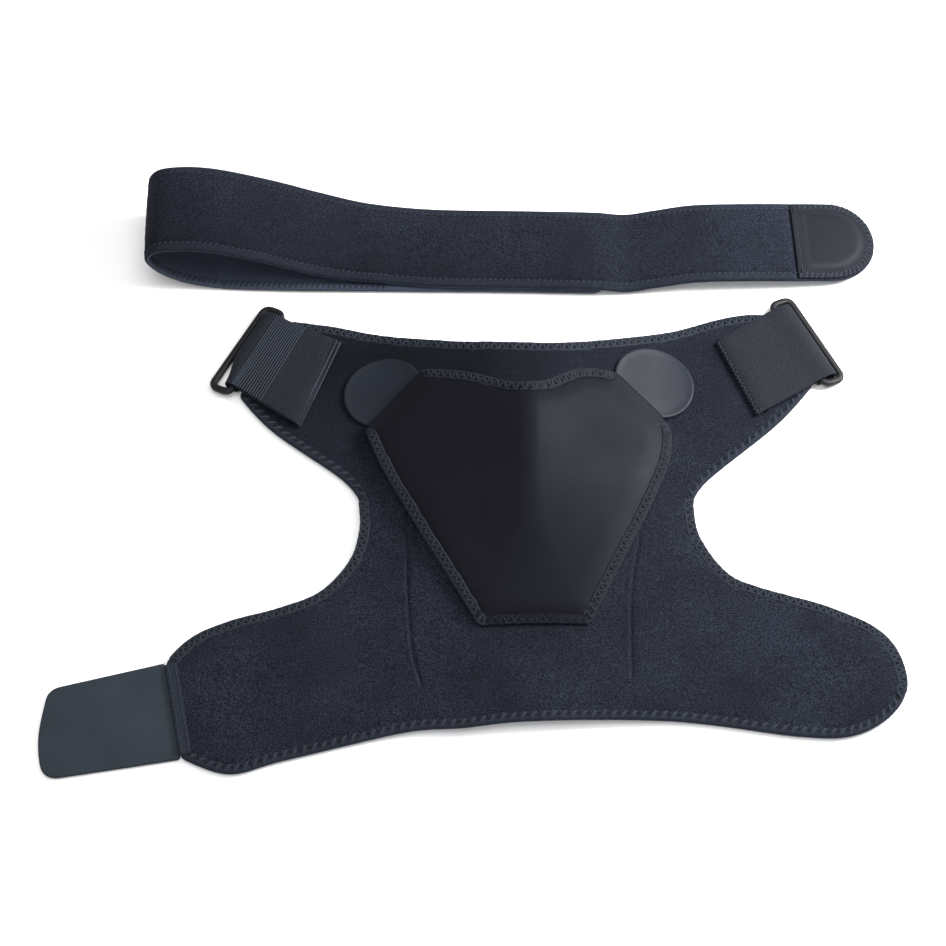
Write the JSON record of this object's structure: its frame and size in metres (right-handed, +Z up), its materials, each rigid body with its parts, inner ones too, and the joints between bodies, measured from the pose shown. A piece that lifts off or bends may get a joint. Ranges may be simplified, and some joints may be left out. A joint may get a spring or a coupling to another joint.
{
  "type": "shoulder brace",
  "caption": "Padded cloth shoulder brace laid flat: winged body panel with a pocket flap, ring ends on webbing, a hook tab and a loose folded chest strap.",
  "frame": {"origin": "on the surface that the brace lies on, under the middle of the whole layout's box", "axes": "+X to the right along the strap, +Y from the hem towards the neckline and the strap, +Z up from the surface"},
  "size_m": [0.44, 0.3464, 0.0391],
  "materials": {
    "plush": "short looped pile on foam, matt",
    "smooth_cloth": "smooth knitted cloth on foam, soft sheen",
    "hook_cloth": "smooth backed hook cloth, satin",
    "webbing": "ribbed woven webbing",
    "ring_plastic": "moulded, satin"
  },
  "bodies": {
    "brace": {"body_panel": "plush", "hook_tab": "hook_cloth", "pocket_flap": "smooth_cloth", "ear_left": "hook_cloth", "ear_right": "hook_cloth", "webbing_left": "webbing", "webbing_right": "webbing", "strap": "plush", "strap_hook_patch": "hook_cloth"},
    "ring_left": {"ring_left": "ring_plastic"},
    "ring_right": {"ring_right": "ring_plastic"}
  },
  "joints": [
    {"name": "ring_left_swing", "type": "hinge", "parent": "brace", "child": "ring_left", "pos_m": [-0.11695, 0.07408, 0.004], "axis": [0.4841, 0.875, 0], "range_deg": [-70, 130]},
    {"name": "ring_right_swing", "type": "hinge", "parent": "brace", "child": "ring_right", "pos_m": [0.17435, 0.07947, 0.004], "axis": [0.4633, -0.8862, 0], "range_deg": [-70, 130]}
  ]
}
